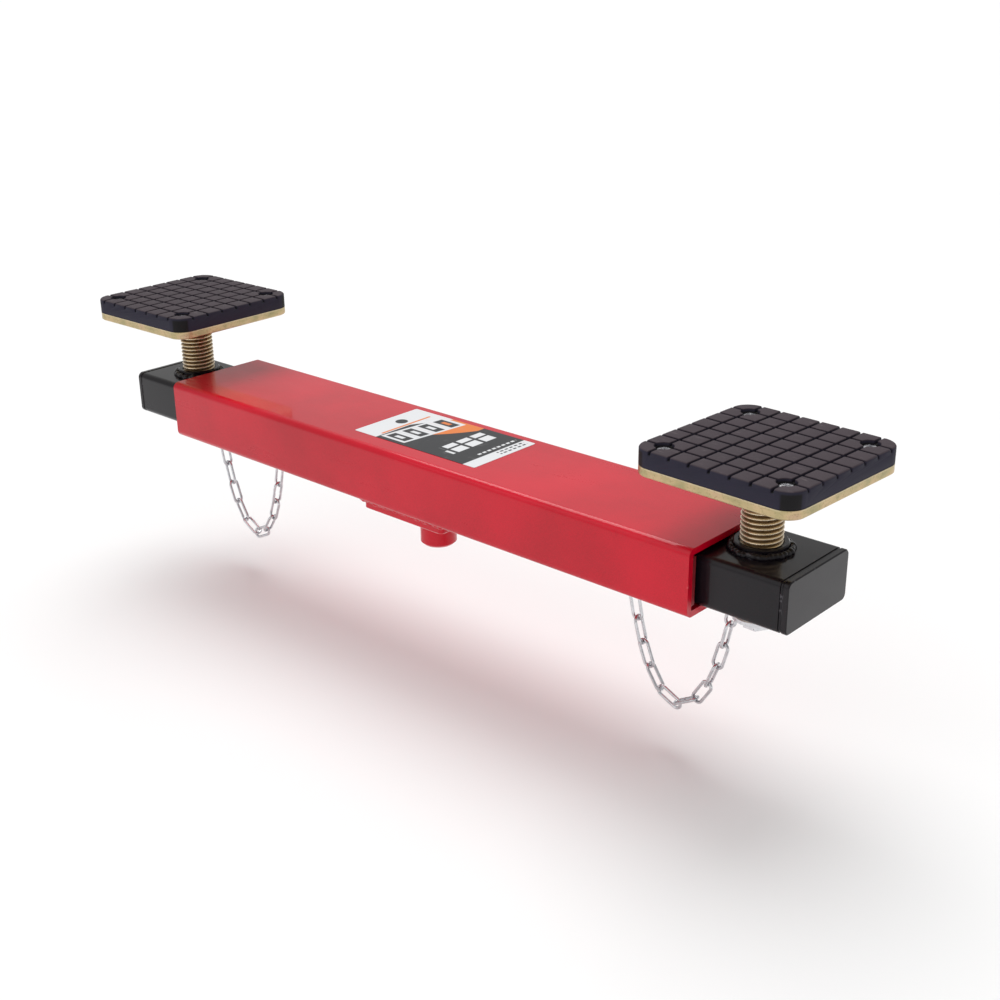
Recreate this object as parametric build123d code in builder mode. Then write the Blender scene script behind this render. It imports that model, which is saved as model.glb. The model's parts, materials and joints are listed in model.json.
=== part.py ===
"""Cross beam that stands on a floor jack and lifts a vehicle at two points.

A rectangular outer tube is welded to a base plate whose post drops into the jack. A
smaller tube arm slides out of each end. Each arm carries a threaded bush, and the screw
in it holds a square saddle plate with a grooved rubber pad, so turning the saddle sets
its height. A slack chain under each end stops the arm from being drawn right out.

Millimetres. +X runs along the beam to the right-hand arm, +Z is up, and the origin is
on the jack post's axis, half way along its bearing length.
"""
import os
from math import atan, cos, sin

from build123d import *

# ---------------------------------------------------------------- outer tube
tube_length = 567.4
tube_width = 101.6
tube_height = 50.8
tube_wall = 4.76
tube_corner = 5.5
tube_inner_corner = 1.2
guide_thickness = 4.76
guide_gap = 2.64
guide_length = 150.0
guide_setback = 1.0

# ---------------------------------------------------------------- base plate and jack post
plate_length = 88.9
plate_width = 82.6
plate_thickness = 9.5
plate_corner = 4.0
plate_edge = 0.8
plate_weld_leg = 4.5
post_diameter = 30.2
post_bearing = 25.4
post_chamfer = 2.0
post_weld_leg = 4.0
post_weld_prep = 3.0

# ---------------------------------------------------------------- arms
arm_length = 340.0
arm_side_play = 3.18
arm_head_room = 3.18
arm_wall = 4.76
arm_corner = 4.8
arm_inner_corner = 1.0
cap_thickness = 4.76
cap_edge = 0.8
cap_weld_width = 1.6
cap_weld_inset = 0.7
bush_from_end = 45.2

# ---------------------------------------------------------------- lifting screws
screw_diameter = 29.6
thread_clearance = 0.08
bush_wall = 4.25
bush_rise = 6.0
bush_edge = 0.8
bush_weld_width = 2.95
bush_weld_height = 3.6
screw_reach = 11.0
screw_end_chamfer = 1.5
washer_overhang = 2.4
washer_flat_clearance = 0.1
washer_thickness = 3.0
washer_float = 0.3
shoulder_diameter = 12.0
shoulder_clearance = 0.06
bolt_diameter = 10.0
bolt_depth = 16.0
bolt_head_flats = 17.0
bolt_head_height = 6.4
bolt_clearance = 0.05
bolt_end_gap = 1.0

# ---------------------------------------------------------------- saddles
saddle_side = 127.0
saddle_corner = 14.0
saddle_thickness = 6.35
saddle_edge = 0.8
saddle_weld_leg = 3.5
pad_over_tube = {"right": 65.5, "left": 66.4}
saddle_turn = {"right": -2.6, "left": 1.0}
pad_thickness = 12.7
pad_edge = 1.0
block_count = 8
groove_width = 2.2
groove_depth = 3.0
recess_diameter = 13.6
recess_depth = 5.6
pad_hole_diameter = 6.6
pad_screw_diameter = 6.0
pad_screw_head = 11.0
pad_screw_head_height = 3.4
pad_screw_clearance = 0.15

# ---------------------------------------------------------------- retaining chains
link_count = 12
link_inner_length = 19.0
pull_limits = (0.01, 100.0)
lowest_limits = (0.3, 0.6)
link_width = 10.4
chain_wire = 2.5
link_play = 0.15
middle_slack = 2.0
eye_wire = 3.2
chain_offset = 4.0
beam_eye_setback = {"right": 88.0, "left": 79.0}
washer_link_gap = 0.5
arm_eye_drop = 12.0
arm_eye_clear = {"right": 2.2, "left": 9.2}
eye_inner_width = 7.6
eye_embed = 1.0

# ---------------------------------------------------------------- sticker
sticker_length = 134.0
sticker_width = 71.0
sticker_thickness = 0.25
sticker_corner = 1.5
sticker_shift = (5.0, 4.0)

# ---------------------------------------------------------------- welds
bead_hollow = 0.42  # where the waist of a fillet weld lies, as a share of its leg

# ---------------------------------------------------------------- levels and places
plate_underside = post_bearing / 2 + post_weld_leg
tube_underside = plate_underside + plate_thickness
tube_top = tube_underside + tube_height
tube_middle = tube_underside + tube_height / 2
tube_floor = tube_underside + tube_wall
tube_inner_width = tube_width - 2 * tube_wall
tube_inner_height = tube_height - 2 * tube_wall
guide_height = tube_inner_height - 2 * guide_gap
arm_width = tube_inner_width - 2 * (guide_thickness + arm_side_play)
arm_height = tube_inner_height - arm_head_room
tube_end = tube_length / 2

arm_underside = tube_floor
arm_top = arm_underside + arm_height
arm_middle = arm_underside + arm_height / 2

bush_top = arm_top + bush_rise
bush_diameter = screw_diameter + 2 * bush_wall
bush_weld_radius = bush_diameter / 2 + bush_weld_width
washer_diameter = screw_diameter + 2 * washer_overhang
screw_end = arm_underside - screw_reach
washer_top = screw_end - washer_float / 2
block_pitch = saddle_side / block_count
eye_level = arm_underside - arm_eye_drop

# the stop washer has a flat on the side where the chain hangs past it
washer_flat = screw_diameter / 2 + washer_flat_clearance
arm_eye_inboard = washer_flat + washer_link_gap + link_width / 2
arm_projection = {
    side: bush_from_end + arm_eye_inboard + clear for side, clear in arm_eye_clear.items()
}

sides = {"right": 1, "left": -1}


def save(builder, name):
    """Label a finished piece and write it to its own file."""
    builder.part.label = name
    export_step(builder.part, f"parts/{name}.step")


def bisect(function, low, high, steps=60):
    """Return the zero of a function that rises from low to high."""
    for _ in range(steps):
        middle = (low + high) / 2
        if function(middle) < 0:
            low = middle
        else:
            high = middle
    return (low + high) / 2


def cross_plane(x, z):
    """A plane across the beam, facing along +X, with its own x along +Y and y up."""
    return Plane(origin=(x, 0, z), x_dir=(0, 1, 0), z_dir=(1, 0, 0))


def bead_outline(inner, outer, leg, level, up):
    """Draw a slightly hollow fillet weld from a shaft out to a face, in the open line."""
    tip = level + leg * up
    waist = (inner + (outer - inner) * bead_hollow, level + leg * bead_hollow * up)
    Line((inner, level), (outer, level))
    ThreePointArc((outer, level), waist, (inner, tip))
    Line((inner, tip), (inner, level))


os.makedirs("parts", exist_ok=True)

# ================================================================ beam
with BuildPart() as outer_tube:
    with BuildSketch(cross_plane(-tube_end, tube_middle)):
        RectangleRounded(tube_width, tube_height, tube_corner)
        RectangleRounded(
            tube_inner_width, tube_inner_height, tube_inner_corner, mode=Mode.SUBTRACT
        )
    extrude(amount=tube_length)
save(outer_tube, "outer_tube")

# one strip on each inner side wall, at both ends
strip_y = tube_inner_width / 2 - guide_thickness / 2
strip_x = tube_end - guide_setback - guide_length / 2
with BuildPart() as guide_strips:
    with BuildSketch(Plane.XY.offset(tube_middle - guide_height / 2)):
        with GridLocations(2 * strip_x, 2 * strip_y, 2, 2):
            Rectangle(guide_length, guide_thickness)
    extrude(amount=guide_height)
save(guide_strips, "guide_strips")

with BuildPart() as base_plate:
    with BuildSketch(Plane.XY.offset(plate_underside)):
        RectangleRounded(plate_length, plate_width, plate_corner)
    extrude(amount=plate_thickness)
    chamfer(base_plate.faces().sort_by(Axis.Z)[0].edges(), plate_edge)
save(base_plate, "base_plate")

# the weld bead runs all round the plate, against the underside of the tube
with BuildPart() as base_plate_weld:
    with BuildSketch(Plane.XY.offset(tube_underside - plate_weld_leg)):
        RectangleRounded(plate_length, plate_width, plate_corner)
    extrude(amount=plate_weld_leg, taper=-45)
    with BuildSketch(Plane.XY.offset(tube_underside - plate_weld_leg)):
        RectangleRounded(plate_length, plate_width, plate_corner)
    extrude(amount=plate_weld_leg, mode=Mode.SUBTRACT)
save(base_plate_weld, "base_plate_weld")

# the post's top is bevelled for its weld, so its full diameter is the bearing length
post_radius = post_diameter / 2
post_end = plate_underside - post_weld_leg - post_bearing - post_chamfer
bearing_top = plate_underside - post_weld_leg
with BuildPart() as jack_post:
    with BuildSketch(Plane.XZ):
        with BuildLine():
            Polyline(
                (0, post_end),
                (post_radius - post_chamfer, post_end),
                (post_radius, post_end + post_chamfer),
                (post_radius, bearing_top),
                (post_radius - post_weld_prep, plate_underside),
                (0, plate_underside),
                close=True,
            )
        make_face()
    revolve(axis=Axis.Z)
save(jack_post, "jack_post")

with BuildPart() as jack_post_weld:
    with BuildSketch(Plane.XZ):
        with BuildLine():
            toe = (post_radius + post_weld_leg, plate_underside)
            ThreePointArc(
                (post_radius, bearing_top),
                (
                    post_radius + post_weld_leg * bead_hollow,
                    plate_underside - post_weld_leg * bead_hollow,
                ),
                toe,
            )
            Line(toe, (post_radius - post_weld_prep, plate_underside))
            Line((post_radius - post_weld_prep, plate_underside), (post_radius, bearing_top))
        make_face()
    revolve(axis=Axis.Z)
save(jack_post_weld, "jack_post_weld")

with BuildPart() as sticker:
    with BuildSketch(Plane.XY.offset(tube_top)):
        with Locations(sticker_shift):
            RectangleRounded(sticker_length, sticker_width, sticker_corner)
    extrude(amount=sticker_thickness)
save(sticker, "sticker")


# ================================================================ chain eyes and links
def eye_outline(plane, drop):
    """A staple's centre line in a plane whose y is up: its bend is centred at the origin."""
    bend = (eye_inner_width + eye_wire) / 2
    with BuildLine(plane) as outline:
        Line((-bend, drop), (-bend, 0))
        ThreePointArc((-bend, 0), (0, -bend), (bend, 0))
        Line((bend, 0), (bend, drop))
    return outline


# the bend under the first link sits below it by half of both wires and the play
eye_bend = (eye_inner_width + eye_wire) / 2
beam_bend_z = eye_level - (chain_wire + eye_wire) / 2 - link_play + eye_bend
with BuildPart() as beam_chain_eyes:
    for side, sign in sides.items():
        eye_plane = Plane(
            origin=(
                sign * (tube_end - beam_eye_setback[side]),
                chain_offset,
                beam_bend_z,
            ),
            x_dir=(1, 0, 0),
            z_dir=(0, -1, 0),
        )
        outline = eye_outline(eye_plane, tube_underside + eye_embed - beam_bend_z)
        with BuildSketch(Plane(origin=outline.line @ 0, z_dir=outline.line % 0)):
            Circle(eye_wire / 2)
        sweep(path=outline.line)
    split(bisect_by=Plane.XY.offset(tube_underside), keep=Keep.BOTTOM)
save(beam_chain_eyes, "beam_chain_eyes")

# links alternate: odd ones lie across the chain's plane, even ones in it; each pair
# turns about the end wire of its odd link, and the chain's slack lies in its lowest link
cross_pivots = link_inner_length + chain_wire
flat_pivots = link_inner_length - chain_wire - 2 * link_play
last_pivots = link_inner_length - (chain_wire + eye_wire) / 2 - 2 * link_play
link_spans = [flat_pivots if i % 2 else cross_pivots for i in range(link_count)]
link_spans[link_count // 2 - 1] -= middle_slack
link_spans[-1] = last_pivots


def hanging_angles(span):
    """Angles of equal links that hang between two eyes of the same height.

    The tangent of each link's angle grows evenly along the chain, at a rate that the
    pull in the chain sets, about its lowest point.
    """

    def angles(pull, lowest):
        return [atan((i - lowest) / pull) for i in range(link_count)]

    def pull_for(lowest):
        return bisect(
            lambda pull: sum(
                s * cos(a) for s, a in zip(link_spans, angles(pull, lowest))
            )
            - span,
            *pull_limits,
        )

    def drop(lowest):
        hang = angles(pull_for(lowest), lowest)
        return -sum(s * sin(a) for s, a in zip(link_spans, hang))

    lowest = bisect(drop, *(link_count * share for share in lowest_limits))
    return angles(pull_for(lowest), lowest)


def link_path(plane):
    """A link's centre line, long along the plane's own x."""
    bend = (link_width - chain_wire) / 2
    straight = (link_inner_length + chain_wire) / 2 - bend
    with BuildLine(plane) as path:
        Line((-straight, bend), (straight, bend))
        ThreePointArc((straight, bend), (straight + bend, 0), (straight, -bend))
        Line((straight, -bend), (-straight, -bend))
        ThreePointArc((-straight, -bend), (-straight - bend, 0), (-straight, bend))
    return path


# ================================================================ one end of the beam
for side, sign in sides.items():
    arm_end = tube_end + arm_projection[side]
    bush_x = sign * (arm_end - bush_from_end)
    tube_part = arm_length - cap_thickness - cap_weld_width
    inner_end = arm_end - arm_length
    pad_top = tube_top + pad_over_tube[side]
    saddle_top = pad_top - pad_thickness
    saddle_underside = saddle_top - saddle_thickness
    facing_out = Plane(
        origin=(sign * inner_end, 0, arm_middle), x_dir=(0, 1, 0), z_dir=(sign, 0, 0)
    )

    # ------------------------------------------------------------ arm
    with BuildPart() as arm_tube:
        with BuildSketch(facing_out):
            RectangleRounded(arm_width, arm_height, arm_corner)
            RectangleRounded(
                arm_width - 2 * arm_wall,
                arm_height - 2 * arm_wall,
                arm_inner_corner,
                mode=Mode.SUBTRACT,
            )
        extrude(amount=tube_part)
        with BuildSketch(Plane.XY.offset(arm_underside)):
            with Locations((bush_x, 0)):
                Circle(bush_diameter / 2)
        extrude(amount=arm_height, mode=Mode.SUBTRACT)
    save(arm_tube, f"arm_tube_{side}")

    with BuildPart() as cap_weld:
        with BuildSketch(facing_out.offset(tube_part)):
            RectangleRounded(
                arm_width - 2 * cap_weld_inset,
                arm_height - 2 * cap_weld_inset,
                arm_corner - cap_weld_inset,
            )
            RectangleRounded(
                arm_width - 2 * arm_wall,
                arm_height - 2 * arm_wall,
                arm_inner_corner,
                mode=Mode.SUBTRACT,
            )
        extrude(amount=cap_weld_width)
    save(cap_weld, f"end_cap_weld_{side}")

    with BuildPart() as end_cap:
        with BuildSketch(facing_out.offset(tube_part + cap_weld_width)):
            RectangleRounded(arm_width, arm_height, arm_corner)
        extrude(amount=cap_thickness)
        chamfer(end_cap.faces().sort_by(Axis.X)[0].edges(), cap_edge)
        chamfer(end_cap.faces().sort_by(Axis.X)[-1].edges(), cap_edge)
    save(end_cap, f"end_cap_{side}")

    with BuildPart() as bush:
        with BuildSketch(Plane.XY.offset(arm_underside)):
            with Locations((bush_x, 0)):
                Circle(bush_diameter / 2)
                Circle(screw_diameter / 2 + thread_clearance, mode=Mode.SUBTRACT)
        extrude(amount=bush_top - arm_underside)
        chamfer(bush.faces().sort_by(Axis.Z)[-1].edges(), bush_edge)
    save(bush, f"threaded_bush_{side}")

    screw_axis = Axis((bush_x, 0, 0), (0, 0, 1))
    with BuildPart() as bush_weld:
        with BuildSketch(Plane(origin=(bush_x, 0, 0), x_dir=(1, 0, 0), z_dir=(0, -1, 0))):
            with BuildLine():
                bead_outline(
                    bush_diameter / 2, bush_weld_radius, bush_weld_height, arm_top, 1
                )
            make_face()
        revolve(axis=screw_axis)
    save(bush_weld, f"bush_weld_{side}")

    # ------------------------------------------------------------ stop washer
    with BuildPart() as stop_washer:
        with BuildSketch(Plane.XY.offset(washer_top - washer_thickness)):
            with Locations((bush_x, 0)):
                Circle(washer_diameter / 2)
                Circle(
                    shoulder_diameter / 2 + shoulder_clearance, mode=Mode.SUBTRACT
                )
        extrude(amount=washer_thickness)
        chain_side = Plane(
            origin=(bush_x - sign * washer_flat, 0, 0),
            x_dir=(0, 1, 0),
            z_dir=(sign, 0, 0),
        )
        split(bisect_by=chain_side)
    save(stop_washer, f"stop_washer_{side}")

    # ------------------------------------------------------------ screw and saddle
    turned = Plane(origin=(bush_x, 0, 0)).rotated((0, 0, saddle_turn[side]))
    with BuildPart() as lift_screw:
        with BuildSketch(turned.offset(screw_end)):
            Circle(screw_diameter / 2)
        extrude(amount=saddle_underside - screw_end)
        chamfer(lift_screw.faces().sort_by(Axis.Z)[0].edges(), screw_end_chamfer)
        with BuildSketch(turned.offset(screw_end)):
            Circle(bolt_diameter / 2 + bolt_clearance)
        extrude(amount=bolt_depth, mode=Mode.SUBTRACT)
    save(lift_screw, f"lift_screw_{side}")

    shoulder = washer_thickness + washer_float
    with BuildPart() as stop_bolt:
        with BuildSketch(turned.offset(screw_end - shoulder - bolt_head_height)):
            RegularPolygon(bolt_head_flats / 2, 6, major_radius=False)
        extrude(amount=bolt_head_height)
        with BuildSketch(turned.offset(screw_end - shoulder)):
            Circle(shoulder_diameter / 2)
        extrude(amount=shoulder)
        with BuildSketch(turned.offset(screw_end)):
            Circle(bolt_diameter / 2)
        extrude(amount=bolt_depth - bolt_end_gap)
    save(stop_bolt, f"stop_bolt_{side}")

    with BuildPart() as saddle_plate:
        with BuildSketch(turned.offset(saddle_underside)):
            RectangleRounded(saddle_side, saddle_side, saddle_corner)
            with GridLocations(
                saddle_side - 2 * block_pitch, saddle_side - 2 * block_pitch, 2, 2
            ):
                Circle(
                    pad_screw_diameter / 2 + pad_screw_clearance, mode=Mode.SUBTRACT
                )
        extrude(amount=saddle_thickness)
        rim = saddle_plate.faces().sort_by(Axis.Z)[0].outer_wire().edges()
        chamfer(rim, saddle_edge)
    save(saddle_plate, f"saddle_plate_{side}")

    with BuildPart() as saddle_weld:
        with BuildSketch(Plane(origin=(bush_x, 0, 0), x_dir=(1, 0, 0), z_dir=(0, -1, 0))):
            with BuildLine():
                radius = screw_diameter / 2
                bead_outline(
                    radius, radius + saddle_weld_leg, saddle_weld_leg, saddle_underside, -1
                )
            make_face()
        revolve(axis=screw_axis)
    save(saddle_weld, f"saddle_weld_{side}")

    with BuildPart() as rubber_pad:
        with BuildSketch(turned.offset(saddle_top)):
            RectangleRounded(saddle_side, saddle_side, saddle_corner)
        extrude(amount=pad_thickness)
        chamfer(rubber_pad.faces().sort_by(Axis.Z)[-1].edges(), pad_edge)
        with BuildSketch(turned.offset(pad_top - groove_depth)):
            with GridLocations(block_pitch, 0, block_count - 1, 1):
                Rectangle(groove_width, saddle_side)
            with GridLocations(0, block_pitch, 1, block_count - 1):
                Rectangle(saddle_side, groove_width)
        extrude(amount=groove_depth, mode=Mode.SUBTRACT)
        with BuildSketch(turned.offset(pad_top - recess_depth)):
            with GridLocations(
                saddle_side - 2 * block_pitch, saddle_side - 2 * block_pitch, 2, 2
            ):
                Circle(recess_diameter / 2)
        extrude(amount=recess_depth, mode=Mode.SUBTRACT)
        with BuildSketch(turned.offset(saddle_top)):
            with GridLocations(
                saddle_side - 2 * block_pitch, saddle_side - 2 * block_pitch, 2, 2
            ):
                Circle(pad_hole_diameter / 2)
        extrude(amount=pad_thickness, mode=Mode.SUBTRACT)
    save(rubber_pad, f"rubber_pad_{side}")

    seat = pad_top - recess_depth
    with BuildPart() as pad_screws:
        with BuildSketch(turned.offset(seat)):
            with GridLocations(
                saddle_side - 2 * block_pitch, saddle_side - 2 * block_pitch, 2, 2
            ):
                Circle(pad_screw_head / 2)
        extrude(amount=pad_screw_head_height)
        with BuildSketch(turned.offset(saddle_underside)):
            with GridLocations(
                saddle_side - 2 * block_pitch, saddle_side - 2 * block_pitch, 2, 2
            ):
                Circle(pad_screw_diameter / 2)
        extrude(amount=seat - saddle_underside)
    save(pad_screws, f"pad_screws_{side}")

    # ------------------------------------------------------------ retaining chain
    eye_x = bush_x - sign * arm_eye_inboard
    arm_bend_z = eye_level + eye_bend
    with BuildPart() as arm_eye:
        outline = eye_outline(
            Plane(origin=(eye_x, chain_offset, arm_bend_z), x_dir=(0, 1, 0), z_dir=(1, 0, 0)),
            arm_underside + eye_embed - arm_bend_z,
        )
        with BuildSketch(Plane(origin=outline.line @ 0, z_dir=outline.line % 0)):
            Circle(eye_wire / 2)
        sweep(path=outline.line)
        split(bisect_by=Plane.XY.offset(arm_underside), keep=Keep.BOTTOM)
    save(arm_eye, f"arm_chain_eye_{side}")

    beam_eye_x = sign * (tube_end - beam_eye_setback[side])
    hang = hanging_angles(abs(eye_x - beam_eye_x))
    x, z = beam_eye_x, eye_level
    for number, (pivots, angle) in enumerate(zip(link_spans, hang), start=1):
        across = number % 2 == 1
        way = (sign * cos(angle), 0, sin(angle))
        reach = (cross_pivots if across else flat_pivots) / 2
        middle = (x + way[0] * reach, chain_offset, z + way[2] * reach)
        normal = (-way[2], 0, way[0]) if across else (0, 1, 0)
        link_plane = Plane(origin=middle, x_dir=way, z_dir=normal)
        with BuildPart() as chain_link:
            path = link_path(link_plane)
            with BuildSketch(Plane(origin=path.line @ 0, z_dir=path.line % 0)):
                Circle(chain_wire / 2)
            sweep(path=path.line)
        save(chain_link, f"chain_link_{side}_{number:02d}")
        x, z = x + way[0] * pivots, z + way[2] * pivots
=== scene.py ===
import json
import random
from math import cos, pi, radians, sin

import bmesh
import bpy
from mathutils import Matrix, Vector

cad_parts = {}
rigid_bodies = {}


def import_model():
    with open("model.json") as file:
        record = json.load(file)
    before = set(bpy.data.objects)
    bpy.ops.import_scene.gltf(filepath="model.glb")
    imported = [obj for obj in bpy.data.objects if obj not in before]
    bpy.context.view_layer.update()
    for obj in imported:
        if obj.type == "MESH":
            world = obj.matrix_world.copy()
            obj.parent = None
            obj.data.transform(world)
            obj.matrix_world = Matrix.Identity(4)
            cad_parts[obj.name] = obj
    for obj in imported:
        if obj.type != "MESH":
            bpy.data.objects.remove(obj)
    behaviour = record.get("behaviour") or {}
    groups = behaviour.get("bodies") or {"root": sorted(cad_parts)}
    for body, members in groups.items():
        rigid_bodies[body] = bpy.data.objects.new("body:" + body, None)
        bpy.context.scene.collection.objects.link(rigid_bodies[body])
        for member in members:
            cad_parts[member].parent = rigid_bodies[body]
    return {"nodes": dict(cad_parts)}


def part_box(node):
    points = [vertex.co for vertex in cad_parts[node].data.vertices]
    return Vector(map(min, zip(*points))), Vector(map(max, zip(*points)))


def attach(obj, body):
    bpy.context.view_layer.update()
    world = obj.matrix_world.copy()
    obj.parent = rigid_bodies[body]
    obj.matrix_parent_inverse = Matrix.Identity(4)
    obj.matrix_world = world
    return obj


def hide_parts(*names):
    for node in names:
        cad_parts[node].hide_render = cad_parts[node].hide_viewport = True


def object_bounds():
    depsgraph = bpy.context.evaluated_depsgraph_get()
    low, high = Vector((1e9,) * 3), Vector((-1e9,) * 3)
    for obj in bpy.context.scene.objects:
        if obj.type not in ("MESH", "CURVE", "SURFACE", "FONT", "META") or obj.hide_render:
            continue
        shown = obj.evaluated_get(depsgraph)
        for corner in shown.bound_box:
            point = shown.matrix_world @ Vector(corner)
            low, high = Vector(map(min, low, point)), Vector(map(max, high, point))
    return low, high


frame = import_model()
cad_box = [list(corner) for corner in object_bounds()]
nodes = frame["nodes"]

# ---------------------------------------------------------------- sizes, in metres
MM = 0.001
SIDES = {"right": 1, "left": -1}
SADDLE_TURN = {"right": radians(-2.6), "left": radians(1.0)}
LINKS = 12
THREAD_PITCH = 3.5 * MM
THREAD_DEPTH = 2.1 * MM
THREAD_STEPS = 40
PAD_EDGE = 0.55 * MM
SCREW_HEAD_RADIUS = 5.5 * MM
SCREW_HEAD_HEIGHT = 3.4 * MM
SCREW_SHANK_RADIUS = 3.0 * MM
RECESS_DEPTH = 5.6 * MM
BLOCK_PITCH = 15.875 * MM
SADDLE_HALF = 63.5 * MM
HEAD_ROUNDING = 2.1 * MM
CROSS_WIDTH, CROSS_THICKNESS, CROSS_DEPTH = 6.4 * MM, 1.25 * MM, 4.4 * MM
FLOOR_GAP = 25 * MM
FLOOR_SIZE = 30

# weld beads: the radius of a drop, the fineness of the skin, how far the drops sink in
# the face or stand off it and off the edge, and how many there are or how far apart
PLATE_DROP, PLATE_SKIN = 3.5 * MM, 0.55 * MM
PLATE_SINK, PLATE_STANDOFF, PLATE_STEP = 0.6 * MM, 0.8 * MM, 3.4 * MM
FINE_SKIN = 0.5 * MM
POST_DROP, POST_SINK, POST_STANDOFF, POST_DROPS = 3.1 * MM, 0.5 * MM, 0.9 * MM, 30
BUSH_DROP, BUSH_RISE, BUSH_STANDOFF, BUSH_DROPS = 3.2 * MM, 0.9 * MM, 1.4 * MM, 36
SADDLE_DROP, SADDLE_SINK, SADDLE_STANDOFF, SADDLE_DROPS = 2.8 * MM, 0.4 * MM, 0.7 * MM, 26
PLATE_SEED, POST_SEED, BUSH_SEED, SADDLE_SEED = 3, 5, 11, 23

# ---------------------------------------------------------------- light and camera
SKY_STRENGTH = 0.50
TOP_LIGHT_WAY, TOP_LIGHT_STRENGTH, TOP_LIGHT_SPREAD = (-0.35, 0.30, 1.0), 1.9, 50
FRONT_LIGHT_WAY, FRONT_LIGHT_STRENGTH, FRONT_LIGHT_SPREAD = (-0.3, -1.0, 0.75), 0.45, 60
CAMERA_PLACE = (0.76887, -0.76340, 0.46088)
CAMERA_YAW, CAMERA_PITCH, CAMERA_ROLL = 0.7419, -0.3857, -0.0122
SENSOR_WIDTH = 36
LENS = 51.34212


def middle_of(*names):
    """The middle of the box round some CAD nodes."""
    boxes = [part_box(name) for name in names]
    low = [min(box[0][axis] for box in boxes) for axis in range(3)]
    high = [max(box[1][axis] for box in boxes) for axis in range(3)]
    return (Vector(low) + Vector(high)) / 2


# ---------------------------------------------------------------- shader arithmetic
class Signal:
    """One output of a shader node, for use in Python sums."""

    def __init__(self, finish, socket):
        self.finish, self.socket = finish, socket

    def __add__(self, other):
        return self.finish.sum("ADD", self, other)

    def __radd__(self, other):
        return self.finish.sum("ADD", other, self)

    def __sub__(self, other):
        return self.finish.sum("SUBTRACT", self, other)

    def __rsub__(self, other):
        return self.finish.sum("SUBTRACT", other, self)

    def __mul__(self, other):
        return self.finish.sum("MULTIPLY", self, other)

    def __rmul__(self, other):
        return self.finish.sum("MULTIPLY", other, self)

    def __truediv__(self, other):
        return self.finish.sum("DIVIDE", self, other)

    def __abs__(self):
        return self.finish.sum("ABSOLUTE", self)


class Finish:
    """A node tree that is built up from Python expressions."""

    def __init__(self, owner):
        self.owner = owner
        owner.use_nodes = True
        self.tree = owner.node_tree
        self.tree.nodes.clear()

    def node(self, kind, settings=None, inputs=None, output=0):
        """Add a node with its settings and its inputs, and return one of its outputs."""
        made = self.tree.nodes.new(kind)
        for name, value in (settings or {}).items():
            if name == "stops":
                stops = made.color_ramp.elements
                while len(stops) < len(value):
                    stops.new(0.5)
                for stop, (position, colour) in zip(stops, value):
                    stop.position, stop.color = position, (*colour, 1)
            else:
                setattr(made, name, value)
        for name, value in (inputs or {}).items():
            if isinstance(value, Signal):
                self.tree.links.new(value.socket, made.inputs[name])
            else:
                made.inputs[name].default_value = value
        return Signal(self, made.outputs[output]) if made.outputs else made

    def sum(self, operation, *values):
        return self.node(
            "ShaderNodeMath", {"operation": operation}, dict(enumerate(values))
        )

    def least(self, first, second):
        return self.sum("MINIMUM", first, second)

    def most(self, first, second):
        return self.sum("MAXIMUM", first, second)

    def ease(self, value, start, end):
        """0 before start and 1 after end, with a smooth change between them."""
        return self.node(
            "ShaderNodeMapRange",
            {"interpolation_type": "SMOOTHSTEP"},
            {"Value": value, "From Min": start, "From Max": end},
        )

    def place(self, centre=(0, 0, 0), turn=0.0):
        """Object coordinates in metres, measured from a centre and turned about Z."""
        found = self.node("ShaderNodeTexCoord", output="Object")
        return self.node(
            "ShaderNodeMapping",
            {"vector_type": "TEXTURE"},
            {"Vector": found, "Location": centre, "Rotation": (0, 0, turn)},
        )

    def axes(self, place):
        """The X, Y and Z of a place, as three signals."""
        split = self.node("ShaderNodeSeparateXYZ", inputs={0: place}).socket.node
        return [Signal(self, socket) for socket in split.outputs]

    def noise(self, place, size, detail=3.0, stretch=(1, 1, 1)):
        """Soft random patches about so many metres across, from 0 to 1."""
        drawn = self.node(
            "ShaderNodeMapping", inputs={"Vector": place, "Scale": stretch}
        )
        return self.node(
            "ShaderNodeTexNoise",
            inputs={"Vector": drawn, "Scale": 1 / size, "Detail": detail},
        )

    def blend(self, mask, first, second):
        """The first colour where the mask is 0, and the second where it is 1."""
        made = self.node("ShaderNodeMix", {"data_type": "RGBA"}).socket.node
        for index, value in ((0, mask), (6, first), (7, second)):
            if isinstance(value, Signal):
                self.tree.links.new(value.socket, made.inputs[index])
            elif index:
                made.inputs[index].default_value = (*value, 1)
            else:
                made.inputs[index].default_value = value
        return Signal(self, made.outputs[2])

    def bump(self, height, distance, strength=1.0, normal=None):
        """A normal that follows a height from 0 to 1, whose full rise is the distance."""
        inputs = {"Height": height, "Distance": distance, "Strength": strength}
        if normal is not None:
            inputs["Normal"] = normal
        return self.node("ShaderNodeBump", inputs=inputs)

    def surface(self, sockets):
        """Finish the tree with one shader and its output."""
        shader = self.node("ShaderNodeBsdfPrincipled", inputs=sockets)
        self.node("ShaderNodeOutputMaterial", inputs={"Surface": shader})
        return self.owner


def new_finish(name):
    return Finish(bpy.data.materials.new(name))


def edge_gap(finish, place, half):
    """Distance from the nearest edge of a box of these half sizes, in metres."""
    gaps = [size - abs(axis) for axis, size in zip(finish.axes(place), half)]
    least, most = finish.least(gaps[0], gaps[1]), finish.most(gaps[0], gaps[1])
    return finish.most(least, finish.least(most, gaps[2]))


def half_sizes(node, turn=0.0):
    """Half of a CAD node's own length, width and height, without its turn."""
    low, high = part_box(node)
    half = (high - low) / 2
    if turn:
        # a square plate that is turned fills a slightly larger box
        half.x = half.y = SADDLE_HALF
    return half



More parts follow.
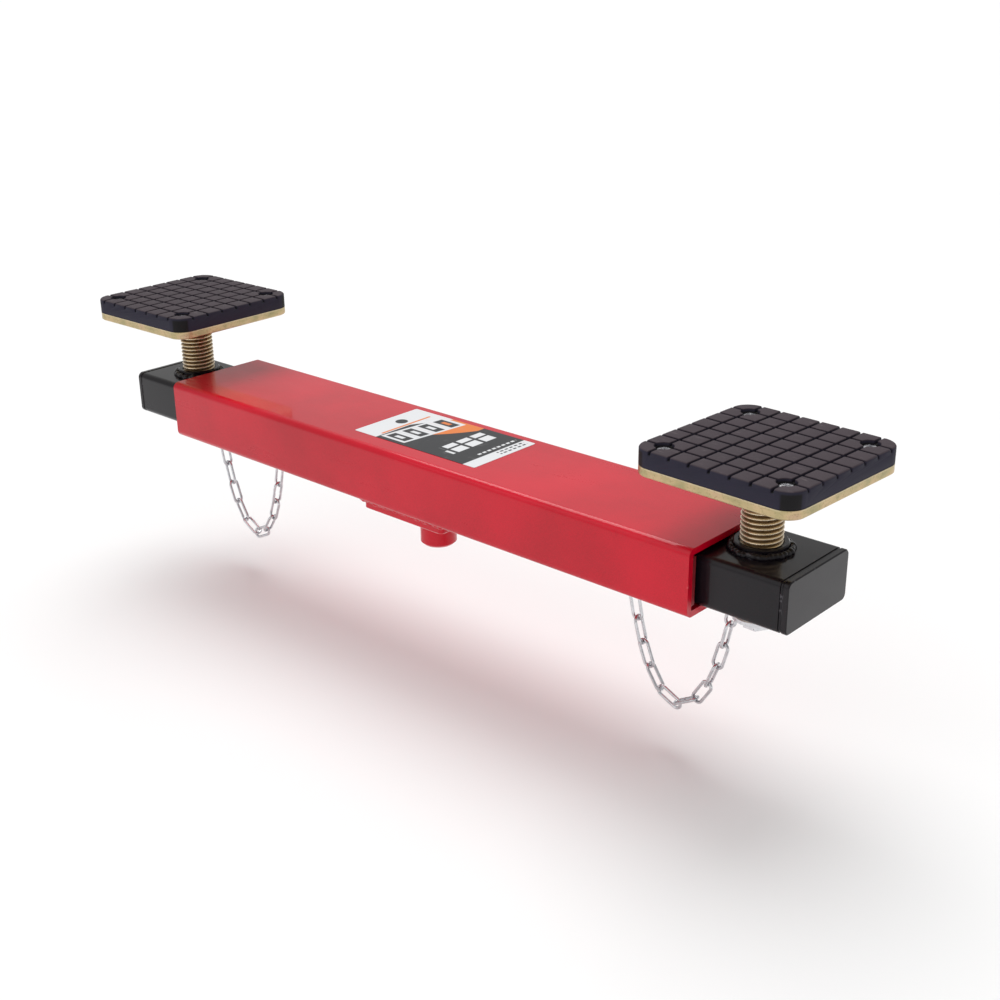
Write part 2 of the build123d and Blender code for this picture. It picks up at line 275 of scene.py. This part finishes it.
# ---------------------------------------------------------------- finishes
def enamel(name, node, colour, deep, worn, shine, coat):
    """Gloss enamel: slight orange peel, uneven film, thin and scuffed along edges."""
    finish = new_finish(name)
    place = finish.place(centre=middle_of(node))
    film = finish.noise(place, 90 * MM, 4)
    grain = finish.noise(place, 0.7 * MM, 2)
    scuff = finish.noise(place, 9 * MM, 5, (1, 1.6, 1.6))
    gap = edge_gap(finish, place, half_sizes(node))
    rim = 1 - finish.ease(gap, 0.15 * MM, 1.5 * MM)
    bare = rim * finish.ease(scuff, 0.60, 0.70)
    tone = finish.ease(film * 0.6 + grain * 0.4, 0.3, 0.7)
    paint = finish.blend(tone, deep, colour)
    paint = finish.blend(bare * 0.8, paint, worn)
    streaks = finish.noise(place, 30 * MM, 4, (0.3, 1, 2))
    roughness = 0.20 + streaks * shine + bare * 0.3 + grain * 0.05
    peel = finish.bump(finish.noise(place, 2.6 * MM, 2), 0.05 * MM, 0.35)
    waves = finish.bump(finish.noise(place, 70 * MM, 1), 0.5 * MM, 0.5, peel)
    return finish.surface(
        {
            "Base Color": paint,
            "Roughness": roughness,
            "Normal": waves,
            "Coat Weight": coat - bare * coat * 0.6,
            "Coat Roughness": 0.05,
            "Coat IOR": 1.33,
            "Specular IOR Level": 0.14,
        }
    )


RED = ((0.68, 0.0, 0.020), (0.48, 0.0, 0.012), (0.72, 0.12, 0.13))
BLACK = ((0.009, 0.006, 0.009), (0.003, 0.002, 0.004), (0.16, 0.15, 0.17))


def red_enamel(node):
    return enamel(f"red_enamel_{node}", node, *RED, 0.16, 0.85)


def black_enamel(node):
    return enamel(f"black_enamel_{node}", node, *BLACK, 0.18, 0.60)


def yellow_zinc(name, centre, turn, half=None, axis_radius=None):
    """Yellow passivated zinc: tan gold that drifts to green and pink, with streaks, painted
    highlights along plate edges and on thread crests, and painted shade in thread roots.
    """
    finish = new_finish(name)
    place = finish.place(centre=centre, turn=turn)
    drift = finish.noise(place, 16 * MM, 4)
    streaks = finish.noise(place, 8 * MM, 4, (0.5, 0.5, 2.5))
    spots = finish.noise(place, 1.4 * MM, 3)
    colour = finish.node(
        "ShaderNodeValToRGB",
        {
            "stops": [
                (0.28, (0.30, 0.28, 0.15)),
                (0.45, (0.46, 0.38, 0.20)),
                (0.58, (0.58, 0.44, 0.25)),
                (0.78, (0.54, 0.36, 0.25)),
            ]
        },
        {"Fac": drift * 0.7 + streaks * 0.3},
    )
    dull = finish.ease(spots, 0.52, 0.70)
    colour = finish.blend(dull * 0.35, colour, (0.26, 0.20, 0.11))
    roughness = 0.24 + streaks * 0.22 + dull * 0.15
    if half is not None:
        gap = edge_gap(finish, place, half)
        rim = 1 - finish.ease(gap, 0.2 * MM, 1.2 * MM)
        # painted highlight: the plate's edges and sides are blended towards pale gold, standing in
        # for light caught on them
        colour = finish.blend(rim * 0.35, colour, (0.80, 0.70, 0.52))
    if axis_radius is not None:
        across, along, _ = finish.axes(place)
        radius = finish.sum("SQRT", across * across + along * along)
        crest = finish.ease(radius, axis_radius - 1.2 * MM, axis_radius - 0.1 * MM)
        # painted light on the thread: dark brown in the roots is painted shade, and pale gold on
        # the crests is a painted highlight
        colour = finish.blend(crest, (0.26, 0.18, 0.10), colour)
        colour = finish.blend(crest * 0.7, colour, (1.0, 0.86, 0.68))
        roughness = roughness * (1.1 - crest * 0.35)
    normal = finish.bump(spots * 0.5 + streaks * 0.5, 0.08 * MM, 0.5)
    return finish.surface(
        {
            "Base Color": colour,
            "Metallic": 0.92,
            "Roughness": roughness,
            "Normal": normal,
        }
    )


def bright_zinc(name, size=6 * MM):
    """Bright zinc plate with cloudy patches, small pits and drawing lines."""
    finish = new_finish(name)
    place = finish.place()
    cloud = finish.noise(place, size, 4)
    pits = finish.ease(finish.noise(place, 0.9 * MM, 3), 0.58, 0.72)
    colour = finish.blend(cloud, (0.42, 0.42, 0.45), (0.88, 0.88, 0.90))
    colour = finish.blend(pits * 0.5, colour, (0.20, 0.20, 0.21))
    return finish.surface(
        {
            "Base Color": colour,
            "Metallic": 1.0,
            "Roughness": 0.14 + cloud * 0.16 + pits * 0.25,
            "Normal": finish.bump(cloud * 0.4 + pits * -0.6, 0.06 * MM, 0.5),
        }
    )


def black_rubber(name, node, side):
    """Moulded rubber: matt, with dust and a painted sky reflection on its block tops, and painted
    shade deep in its grooves.
    """
    finish = new_finish(name)
    low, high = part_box(node)
    centre = (low + high) / 2
    centre.z = high.z
    place = finish.place(centre=centre, turn=SADDLE_TURN[side])
    x, y, z = finish.axes(place)
    bloom = finish.noise(place, 14 * MM, 4)
    grain = finish.noise(place, 0.5 * MM, 2)
    scrape = finish.noise(place, 5 * MM, 5, (0.4, 1.4, 1))
    top = finish.ease(z, -1.1 * MM, -0.25 * MM)
    colour = finish.blend(bloom, (0.012, 0.011, 0.024), (0.026, 0.022, 0.042))
    # the block tops are lighter: partly dust, partly a painted reflection of the sky
    dust_and_sky_sheen = finish.blend(bloom, (0.030, 0.020, 0.026), (0.062, 0.044, 0.054))
    colour = finish.blend(top, colour, dust_and_sky_sheen)
    # painted shade: deep in the grooves, away from the pad's outer sides, the colour goes near
    # black
    deep = 1 - finish.ease(z, -3.1 * MM, -1.2 * MM)
    inner = finish.ease(SADDLE_HALF - finish.most(abs(x), abs(y)), 0.3 * MM, 0.9 * MM)
    colour = finish.blend(deep * inner, colour, (0.004, 0.003, 0.004))
    marks = top * finish.ease(scrape, 0.60, 0.74)
    colour = finish.blend(marks * 0.35, colour, (0.16, 0.13, 0.14))
    return finish.surface(
        {
            "Base Color": colour,
            "Roughness": 0.50 + bloom * 0.2 + grain * 0.12,
            "Normal": finish.bump(grain * 0.6 + bloom * 0.4, 0.12 * MM, 0.5),
            "Specular IOR Level": 0.25,
        }
    )


def dark_steel(name):
    """Rough steel under a thin coat of overspray, inside the beam."""
    finish = new_finish(name)
    place = finish.place()
    mist = finish.noise(place, 20 * MM, 5)
    speck = finish.noise(place, 1.1 * MM, 3)
    colour = finish.blend(finish.ease(mist, 0.3, 0.7), (0.20, 0.006, 0.010), (0.33, 0.01, 0.02))
    colour = finish.blend(finish.ease(speck, 0.60, 0.72) * 0.5, colour, (0.09, 0.05, 0.045))
    return finish.surface(
        {
            "Base Color": colour,
            "Roughness": 0.45 + mist * 0.25,
            "Normal": finish.bump(speck, 0.08 * MM, 0.6),
            "Coat Weight": 0.3,
            "Coat Roughness": 0.3,
        }
    )


def band(finish, value, start, end, soft):
    """1 between two values and 0 outside them."""
    return finish.ease(value, start - soft, start + soft) * (
        1 - finish.ease(value, end - soft, end + soft)
    )


def printed_film(name, node):
    """A printed sticker: white end bands, an orange sweep and plain bars, no lettering."""
    finish = new_finish(name)
    low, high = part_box(node)
    place = finish.place(centre=low)
    x, y, z = finish.axes(place)
    along = x / (high.x - low.x)
    across = y / (high.y - low.y)
    soft = 0.004
    white, ink, orange = (0.80, 0.81, 0.83), (0.010, 0.011, 0.014), (0.80, 0.20, 0.02)
    # the black field, then the orange sweep that thins out towards the near edge
    colour = finish.blend(band(finish, along, 0.19, 0.91, soft), white, ink)
    curve = 0.30 + 0.62 * (along - 0.24) * (along - 0.24) * 8
    above = finish.ease(across - curve, -soft, soft)
    swoosh = above * band(finish, along, 0.24, 0.585, soft)
    colour = finish.blend(swoosh, colour, orange)
    # a pale corner beyond the sweep
    corner = finish.ease(across + (0.32 - along) * 3.4, 0.98, 0.99)
    corner = corner * (1 - finish.ease(along, 0.36, 0.37))
    colour = finish.blend(corner, colour, white)
    # four leaning blocks with pale outlines
    lean = along + (0.5 - across) * 0.06
    for column in range(4):
        start = 0.08 + column * 0.225
        outline = band(finish, lean, 0.225, 0.425, soft) * band(
            finish, across, start - 0.02, start + 0.205, 0.008
        )
        colour = finish.blend(outline, colour, white)
        block = band(finish, lean, 0.245, 0.405, soft) * band(
            finish, across, start + 0.02, start + 0.155, 0.008
        )
        colour = finish.blend(block, colour, ink)
        hollow = band(finish, lean, 0.29, 0.36, soft) * band(
            finish, across, start + 0.06, start + 0.115, 0.008
        )
        colour = finish.blend(hollow, colour, orange if column > 2 else white)
    # a small badge, a thin rule beside it, and plain bars where a title would stand
    badge_x, badge_y = (along - 0.105) * 1.9, across - 0.56
    badge = 1 - finish.ease(badge_x * badge_x + badge_y * badge_y, 0.0048, 0.0062)
    colour = finish.blend(badge, colour, ink)
    rule = band(finish, along, 0.165, 0.182, 0.003) * band(finish, across, 0.12, 0.90, 0.01)
    colour = finish.blend(rule, colour, orange)
    dashes = finish.sum("PINGPONG", across * 9.0, 1.0)
    dashes = finish.ease(dashes, 0.16, 0.26)
    for start, end, low_end, high_end in ((0.615, 0.665, 0.20, 0.90), (0.685, 0.755, 0.16, 0.86)):
        bar = band(finish, along, start, end, 0.003) * band(
            finish, across, low_end, high_end, 0.01
        )
        colour = finish.blend(bar * dashes, colour, white)
    fine = finish.ease(finish.sum("PINGPONG", across * 26.0, 1.0), 0.25, 0.45)
    small = band(finish, along, 0.862, 0.880, 0.003) * band(finish, across, 0.30, 0.94, 0.01)
    colour = finish.blend(small * fine, colour, white)
    for start in (0.925, 0.955):
        notes = band(finish, along, start, start + 0.014, 0.003) * band(
            finish, across, 0.50, 0.94, 0.01
        )
        colour = finish.blend(notes * fine, colour, ink)
    handling = finish.noise(place, 18 * MM, 5)
    colour = finish.blend(finish.ease(handling, 0.55, 0.8) * 0.25, colour, (0.45, 0.42, 0.42))
    return finish.surface(
        {
            "Base Color": colour,
            "Roughness": 0.22 + handling * 0.2,
            "Normal": finish.bump(finish.noise(place, 8 * MM, 2), 0.05 * MM, 0.3),
            "Coat Weight": 0.3,
            "Coat Roughness": 0.12,
            "Specular IOR Level": 0.25,
        }
    )


# ---------------------------------------------------------------- modelling helpers
def only(*pieces):
    """Select these pieces and nothing else, the last of them active."""
    bpy.ops.object.select_all(action="DESELECT")
    for piece in pieces:
        piece.select_set(True)
    bpy.context.view_layer.objects.active = pieces[-1]


def settle(piece, name):
    """Name a piece and put its place, turn and scale into its mesh."""
    only(piece)
    bpy.ops.object.transform_apply(location=True, rotation=True, scale=True)
    piece.name = piece.data.name = name
    return piece


def modify(piece, kind, **settings):
    """Add one modifier to a piece and apply it."""
    only(piece)
    modifier = piece.modifiers.new(kind.lower(), kind)
    for name, value in settings.items():
        setattr(modifier, name, value)
    bpy.ops.object.modifier_apply(modifier=modifier.name)
    return piece


def choose(piece, parts, test):
    """In edit mode, select the verts, edges or faces that pass a test, and no others."""
    bpy.ops.mesh.select_all(action="DESELECT")
    mesh = bmesh.from_edit_mesh(piece.data)
    for item in getattr(mesh, parts):
        if test(item):
            item.select_set(True)
    bmesh.update_edit_mesh(piece.data)


def edit(piece, mode="EDGE"):
    only(piece)
    bpy.ops.object.mode_set(mode="EDIT")
    bpy.ops.mesh.select_mode(type=mode)


def leave():
    bpy.ops.object.mode_set(mode="OBJECT")


def smooth(piece, angle=35):
    only(piece)
    bpy.ops.object.shade_smooth_by_angle(angle=radians(angle))


def copy_of(piece, name, shift=(0, 0, 0)):
    """A copy of a piece with its own mesh, moved by a shift."""
    only(piece)
    bpy.ops.object.duplicate(linked=False)
    twin = bpy.context.object
    twin.name = twin.data.name = name
    twin.location = Vector(shift)
    return twin


def joined(pieces, name):
    only(*pieces)
    bpy.ops.object.join()
    return settle(bpy.context.object, name)


def paint(piece, finish):
    """Give a piece one finish."""
    if not piece.material_slots:
        piece.data.materials.append(finish)
    for holder in piece.material_slots:
        holder.material = finish


def place_piece(piece, body, slot, finish, *stands_for):
    """Paint a new piece, hang it on its body and hide the CAD nodes it stands for."""
    paint(piece, finish)
    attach(piece, body)
    if stands_for:
        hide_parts(*stands_for)


# ---------------------------------------------------------------- weld beads
def weld_bead(name, stops, radius, voxel, seed, cut):
    """A welded bead: overlapping drops along a line, fused into one lumpy skin.

    The skin is cut flat where it meets the face that it lies on. cut is a point on that
    face and the direction that is taken away.
    """
    draws = random.Random(seed)
    drops = []
    for stop in stops:
        bpy.ops.object.select_all(action="DESELECT")
        spread = radius * 0.14
        bpy.ops.mesh.primitive_uv_sphere_add(
            segments=14,
            ring_count=8,
            radius=radius * draws.uniform(0.86, 1.10),
            location=Vector(stop)
            + Vector([draws.uniform(-spread, spread) for _ in range(3)]),
            rotation=(draws.uniform(0, pi), draws.uniform(0, pi), 0),
            scale=(1, 1, draws.uniform(0.75, 1.0)),
        )
        drops.append(bpy.context.object)
    bead = joined(drops, name)
    modify(bead, "REMESH", mode="VOXEL", voxel_size=voxel, use_smooth_shade=True)
    modify(bead, "SMOOTH", factor=0.5, iterations=3)
    edit(bead, "FACE")
    bpy.ops.mesh.select_all(action="SELECT")
    bpy.ops.mesh.bisect(
        plane_co=cut[0], plane_no=cut[1], use_fill=True, clear_outer=True
    )
    leave()
    smooth(bead, 50)
    return bead


def ring_stops(centre, radius, count):
    return [
        centre + Vector((radius * cos(2 * pi * i / count), radius * sin(2 * pi * i / count), 0))
        for i in range(count)
    ]


def box_stops(centre, half_x, half_y, step):
    """Even stops round a rectangle."""
    corners = [(-half_x, -half_y), (half_x, -half_y), (half_x, half_y), (-half_x, half_y)]
    stops = []
    for (x, y), (next_x, next_y) in zip(corners, corners[1:] + corners[:1]):
        length = abs(next_x - x) + abs(next_y - y)
        count = round(length / step)
        stops += [
            centre + Vector((x + (next_x - x) * i / count, y + (next_y - y) * i / count, 0))
            for i in range(count)
        ]
    return stops


# ---------------------------------------------------------------- screws
def thread_radius(share, crest):
    """The radius of a rolled thread at a share of its pitch: flat root, round crest."""
    rise = 0.5 - 0.5 * cos(2 * pi * share)
    return crest - THREAD_DEPTH * (1 - rise**0.75)


def rolled_thread(name, axis_x, low, high, crest):
    """A screw whose thread is wound from one pitch of its profile."""
    bpy.ops.object.select_all(action="DESELECT")
    bpy.ops.mesh.primitive_plane_add(size=THREAD_PITCH, rotation=(pi / 2, 0, 0))
    screw = settle(bpy.context.object, name)
    edit(screw, "VERT")
    choose(screw, "verts", lambda vert: vert.co.x < 0)
    bpy.ops.mesh.delete(type="VERT")
    bpy.ops.mesh.select_all(action="SELECT")
    bpy.ops.mesh.subdivide(number_cuts=9)
    mesh = bmesh.from_edit_mesh(screw.data)
    for vert in mesh.verts:
        vert.co.x = thread_radius(vert.co.z / THREAD_PITCH + 0.5, crest)
    bmesh.update_edit_mesh(screw.data)
    leave()
    turns = round((high - low) / THREAD_PITCH) + 3
    modify(
        screw,
        "SCREW",
        screw_offset=THREAD_PITCH,
        iterations=turns,
        steps=THREAD_STEPS,
        render_steps=THREAD_STEPS,
        use_merge_vertices=True,
        merge_threshold=1e-6,
    )
    screw.location = (axis_x, 0, low - 1.5 * THREAD_PITCH)
    settle(screw, name)
    edit(screw, "FACE")
    bpy.ops.mesh.select_all(action="SELECT")
    bpy.ops.mesh.remove_doubles(threshold=1e-6)
    bpy.ops.mesh.bisect(
        plane_co=(0, 0, low), plane_no=(0, 0, -1), use_fill=True, clear_outer=True
    )
    bpy.ops.mesh.select_all(action="SELECT")
    bpy.ops.mesh.bisect(
        plane_co=(0, 0, high), plane_no=(0, 0, 1), use_fill=True, clear_outer=True
    )
    bpy.ops.mesh.select_all(action="SELECT")
    bpy.ops.mesh.normals_make_consistent(inside=False)
    leave()
    smooth(screw, 50)
    return screw


def cross_head_screw(name, top, foot):
    """A domed pan-head screw with a cross recess, standing on the world's Z axis."""
    bpy.ops.object.select_all(action="DESELECT")
    seat = top - SCREW_HEAD_HEIGHT
    bpy.ops.mesh.primitive_cylinder_add(
        vertices=40,
        radius=SCREW_HEAD_RADIUS,
        depth=SCREW_HEAD_HEIGHT,
        location=(0, 0, seat + SCREW_HEAD_HEIGHT / 2),
    )
    head = settle(bpy.context.object, name)
    edit(head)
    choose(head, "edges", lambda edge: all(v.co.z > top - 0.01 * MM for v in edge.verts))
    bpy.ops.mesh.bevel(offset=HEAD_ROUNDING, segments=6, profile=0.5, affect="EDGES")
    choose(head, "faces", lambda face: face.normal.z < -0.9)
    bpy.ops.mesh.inset(thickness=SCREW_HEAD_RADIUS - SCREW_SHANK_RADIUS)
    bpy.ops.mesh.extrude_region_move(TRANSFORM_OT_translate={"value": (0, 0, foot - seat)})
    leave()
    cutters = []
    for turn in (0, pi / 2):
        bpy.ops.object.select_all(action="DESELECT")
        bpy.ops.mesh.primitive_cube_add(size=1, location=(0, 0, top), rotation=(0, 0, turn + 0.5))
        slot_cutter = bpy.context.object
        slot_cutter.scale = (CROSS_WIDTH, CROSS_THICKNESS, CROSS_DEPTH)
        settle(slot_cutter, "cutter")
        edit(slot_cutter, "FACE")
        choose(slot_cutter, "faces", lambda face: face.normal.z < -0.9)
        bpy.ops.transform.resize(value=(0.5, 0.5, 1))
        leave()
        cutters.append(slot_cutter)
    for slot_cutter in cutters:
        modify(head, "BOOLEAN", operation="DIFFERENCE", object=slot_cutter, solver="EXACT")
        bpy.data.objects.remove(slot_cutter)
    smooth(head, 40)
    return head


# ---------------------------------------------------------------- pads
def softened_copy(node, name, width):
    """A CAD node's shape as clean faces, with its edges rounded."""
    only(nodes[node])
    bpy.ops.object.duplicate(linked=False)
    piece = bpy.context.object
    bpy.ops.object.parent_clear(type="CLEAR_KEEP_TRANSFORM")
    for key in [key for key in piece.keys() if key.startswith("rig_")]:
        del piece[key]
    piece.name = piece.data.name = name
    edit(piece, "FACE")
    bpy.ops.mesh.select_all(action="SELECT")
    bpy.ops.mesh.remove_doubles(threshold=1e-6)
    bpy.ops.mesh.dissolve_limited(angle_limit=radians(1))
    leave()
    modify(
        piece,
        "BEVEL",
        width=width,
        segments=2,
        limit_method="ANGLE",
        angle_limit=radians(40),
        use_clamp_overlap=False,
    )
    smooth(piece, 45)
    return piece


# ================================================================ beam
paint(nodes["outer_tube"], red_enamel("outer_tube"))
paint(nodes["guide_strips"], dark_steel("guide_strip_steel"))
paint(nodes["base_plate"], red_enamel("base_plate"))
paint(nodes["jack_post"], red_enamel("jack_post"))
paint(nodes["sticker"], printed_film("printed_film", "sticker"))
chain_zinc = bright_zinc("bright_zinc_chain")
fastener_zinc = bright_zinc("bright_zinc_fastener", 3 * MM)
paint(nodes["beam_chain_eyes"], chain_zinc)

plate_low, plate_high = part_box("base_plate")
plate_bead = weld_bead(
    "base_plate_bead",
    box_stops(
        Vector((0, 0, plate_high.z - PLATE_SINK)),
        plate_high.x + PLATE_STANDOFF,
        plate_high.y + PLATE_STANDOFF,
        PLATE_STEP,
    ),
    PLATE_DROP,
    PLATE_SKIN,
    PLATE_SEED,
    ((0, 0, plate_high.z), (0, 0, 1)),
)
place_piece(
    plate_bead, "beam", "red_enamel", red_enamel("base_plate_weld"), "base_plate_weld"
)
post_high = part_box("jack_post")[1]
post_bead = weld_bead(
    "jack_post_bead",
    ring_stops(
        Vector((0, 0, plate_low.z - POST_SINK)), post_high.x + POST_STANDOFF, POST_DROPS
    ),
    POST_DROP,
    FINE_SKIN,
    POST_SEED,
    ((0, 0, plate_low.z), (0, 0, 1)),
)
place_piece(post_bead, "beam", "red_enamel", red_enamel("jack_post_weld"), "jack_post_weld")

# ================================================================ one end of the beam
for side, sign in SIDES.items():
    arm, saddle = f"arm_{side}", f"saddle_{side}"
    axis = middle_of(f"lift_screw_{side}")
    for part in ("arm_tube", "end_cap", "end_cap_weld", "threaded_bush"):
        node = f"{part}_{side}"
        paint(nodes[node], black_enamel(node))
    paint(nodes[f"arm_chain_eye_{side}"], chain_zinc)
    paint(nodes[f"stop_washer_{side}"], fastener_zinc)
    paint(nodes[f"stop_bolt_{side}"], fastener_zinc)

    # ------------------------------------------------------------ bush weld
    arm_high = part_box(f"arm_tube_{side}")[1]
    bush_low, bush_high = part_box(f"threaded_bush_{side}")
    bush_radius = (bush_high.y - bush_low.y) / 2
    bush_bead = weld_bead(
        f"bush_bead_{side}",
        ring_stops(
            Vector((axis.x, 0, arm_high.z + BUSH_RISE)), bush_radius + BUSH_STANDOFF, BUSH_DROPS
        ),
        BUSH_DROP,
        FINE_SKIN,
        BUSH_SEED + sign,
        ((0, 0, arm_high.z), (0, 0, -1)),
    )
    place_piece(
        bush_bead,
        arm,
        "black_enamel",
        black_enamel(f"bush_weld_{side}"),
        f"bush_weld_{side}",
    )

    # ------------------------------------------------------------ lifting screw
    screw_low, screw_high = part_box(f"lift_screw_{side}")
    crest = (screw_high.x - screw_low.x) / 2
    screw = rolled_thread(
        f"rolled_screw_{side}", axis.x, screw_low.z, screw_high.z, crest
    )
    screw_zinc = yellow_zinc(
        f"yellow_zinc_screw_{side}", (axis.x, 0, 0), 0, axis_radius=crest
    )
    place_piece(screw, saddle, "yellow_zinc", screw_zinc, f"lift_screw_{side}")
    saddle_bead = weld_bead(
        f"saddle_bead_{side}",
        ring_stops(
            Vector((axis.x, 0, screw_high.z - SADDLE_SINK)), crest + SADDLE_STANDOFF, SADDLE_DROPS
        ),
        SADDLE_DROP,
        FINE_SKIN,
        SADDLE_SEED + sign,
        ((0, 0, screw_high.z), (0, 0, 1)),
    )
    plate_half = half_sizes(f"saddle_plate_{side}", SADDLE_TURN[side])
    plate_zinc = yellow_zinc(
        f"yellow_zinc_plate_{side}",
        middle_of(f"saddle_plate_{side}"),
        SADDLE_TURN[side],
        half=plate_half,
    )
    place_piece(saddle_bead, saddle, "yellow_zinc", plate_zinc, f"saddle_weld_{side}")
    paint(nodes[f"saddle_plate_{side}"], plate_zinc)

    # ------------------------------------------------------------ pad and its screws
    pad_node = f"rubber_pad_{side}"
    pad = softened_copy(pad_node, f"grooved_pad_{side}", PAD_EDGE)
    place_piece(
        pad, saddle, "black_rubber", black_rubber(f"black_rubber_{side}", pad_node, side), pad_node
    )
    pad_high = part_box(pad_node)[1]
    head_top = pad_high.z - RECESS_DEPTH + SCREW_HEAD_HEIGHT
    first = cross_head_screw(f"cross_screw_{side}", head_top, screw_high.z)
    heads = []
    reach = SADDLE_HALF - BLOCK_PITCH
    for number, (way_x, way_y) in enumerate(((-1, -1), (1, -1), (1, 1), (-1, 1))):
        spot = Matrix.Rotation(SADDLE_TURN[side], 3, "Z") @ Vector(
            (way_x * reach, way_y * reach, 0)
        )
        head = copy_of(first, f"head_{number}")
        head.rotation_euler.z = 0.9 * number + 0.4
        head.location = spot + Vector((axis.x, 0, 0))
        settle(head, f"head_{number}")
        heads.append(head)
    bpy.data.objects.remove(first)
    screws = joined(heads, f"cross_screws_{side}")
    place_piece(screws, saddle, "bright_zinc", fastener_zinc, f"pad_screws_{side}")

    # ------------------------------------------------------------ chain
    for number in range(1, LINKS + 1):
        paint(nodes[f"chain_link_{side}_{number:02d}"], chain_zinc)

# ================================================================ floor, light, camera
bpy.ops.object.select_all(action="DESELECT")
bpy.ops.mesh.primitive_plane_add(size=FLOOR_SIZE, location=(0, 0, cad_box[0][2] - FLOOR_GAP))
floor = settle(bpy.context.object, "floor")
floor_finish = new_finish("pale_floor")
paint(
    floor,
    floor_finish.surface({"Base Color": (0.92, 0.92, 0.92, 1), "Roughness": 0.9}),
)

sky = Finish(bpy.data.worlds.new("studio"))
bpy.context.scene.world = sky.owner
sky_light = sky.node(
    "ShaderNodeBackground", inputs={"Color": (1, 1, 1, 1), "Strength": SKY_STRENGTH}
)
sky.node("ShaderNodeOutputWorld", inputs={"Surface": sky_light})


def soft_sun(name, way, strength, spread):
    """An even, soft light that comes from a direction."""
    lamp = bpy.data.lights.new(name, "SUN")
    lamp.energy, lamp.angle = strength, radians(spread)
    holder = bpy.data.objects.new(name, lamp)
    bpy.context.scene.collection.objects.link(holder)
    holder.rotation_euler = Vector(way).to_track_quat("Z", "Y").to_euler()


soft_sun("top_light", TOP_LIGHT_WAY, TOP_LIGHT_STRENGTH, TOP_LIGHT_SPREAD)
soft_sun("front_light", FRONT_LIGHT_WAY, FRONT_LIGHT_STRENGTH, FRONT_LIGHT_SPREAD)

camera = bpy.data.objects.new("camera", bpy.data.cameras.new("camera"))
bpy.context.scene.collection.objects.link(camera)
camera.data.sensor_width = SENSOR_WIDTH
camera.data.lens = LENS
camera.data.clip_start = 0.01
camera.location = CAMERA_PLACE
aim = (
    Matrix.Rotation(CAMERA_YAW, 3, "Z")
    @ Matrix.Rotation(pi / 2 + CAMERA_PITCH, 3, "X")
    @ Matrix.Rotation(CAMERA_ROLL, 3, "Z")
)
camera.rotation_euler = aim.to_euler()
bpy.context.scene.camera = camera
bpy.context.scene.view_settings.view_transform = "Standard"
